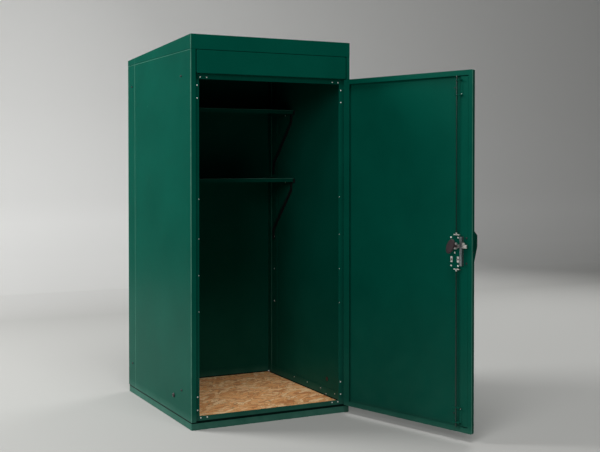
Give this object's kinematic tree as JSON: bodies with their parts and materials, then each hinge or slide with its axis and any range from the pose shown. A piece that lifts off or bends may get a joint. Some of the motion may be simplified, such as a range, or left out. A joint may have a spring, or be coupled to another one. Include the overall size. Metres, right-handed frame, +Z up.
{
  "type": "metal tool shed",
  "caption": "Tall narrow steel tool shed with a low sloping roof cap, a hinged door with an inside rod lock, a raised base with a board floor and rear shelves.",
  "frame": {"origin": "middle of the base's underside, on the ground", "axes": "+X to the right seen from the front, +Y to the back, +Z up"},
  "size_m": [1.3061, 2.0586, 2.1999],
  "materials": {
    "green_steel": "dark green powder coat, satin",
    "zinc_steel": "bright zinc plate",
    "chrome_trim": "polished",
    "black_plastic": "moulded, matt",
    "black_steel": "black paint, matt",
    "strand_board": "raw strand board",
    "bearer_wood": "sawn softwood"
  },
  "bodies": {
    "shed": {"front_sill": "green_steel", "left_base_rail": "green_steel", "right_base_rail": "green_steel", "rear_base_rail": "green_steel", "floor_bearers": "bearer_wood", "floor_board": "strand_board", "left_wall": "green_steel", "right_wall": "green_steel", "rear_wall": "green_steel", "roof_cap": "green_steel", "lintel": "green_steel", "header_panel": "green_steel", "corner_gussets": "green_steel", "upper_shelf": "green_steel", "lower_shelf": "green_steel", "shelf_struts": "black_steel", "cable_plugs": "black_plastic", "frame_hinges": "green_steel"},
    "door": {"door_leaf": "green_steel", "door_stiffener": "green_steel", "door_hinges": "green_steel", "lock_case": "green_steel", "lock_lugs": "zinc_steel", "lock_collar": "chrome_trim", "rod_guides": "green_steel", "bolt_channel": "zinc_steel", "key_cylinder": "chrome_trim", "pull_handle": "green_steel"},
    "knob": {"lock_knob": "black_plastic"},
    "upper_lock_rod": {"upper_rod": "green_steel", "upper_rod_foot": "zinc_steel"},
    "lower_lock_rod": {"lower_rod": "green_steel", "lower_rod_foot": "zinc_steel"},
    "side_lock_bolt": {"side_bolt": "zinc_steel"}
  },
  "joints": [
    {"name": "door_swing", "type": "hinge", "parent": "shed", "child": "door", "pos_m": [0.4775, -0.5745, 1.015], "axis": [0, 0, 1], "range_deg": [-106.8, 8.2]},
    {"name": "knob_turn", "type": "hinge", "parent": "door", "child": "knob", "pos_m": [0.6964, -1.38429, 1.043], "axis": [-0.9573, -0.289, 0], "range_deg": [0, 90]},
    {"name": "upper_rod_slide", "type": "slide", "parent": "door", "child": "upper_lock_rod", "axis": [0, 0, 1], "range_m": [0, 0.028]},
    {"name": "lower_rod_slide", "type": "slide", "parent": "door", "child": "lower_lock_rod", "axis": [0, 0, -1], "range_m": [0, 0.028]},
    {"name": "side_bolt_slide", "type": "slide", "parent": "door", "child": "side_lock_bolt", "axis": [0.289, -0.9573, 0], "range_m": [0, 0.02]}
  ],
  "couplings": [
    {"joint": "upper_rod_slide", "follows": "knob_turn", "m_per_rad": 0.0178},
    {"joint": "lower_rod_slide", "follows": "knob_turn", "m_per_rad": 0.0178},
    {"joint": "side_bolt_slide", "follows": "knob_turn", "m_per_rad": 0.0127}
  ]
}
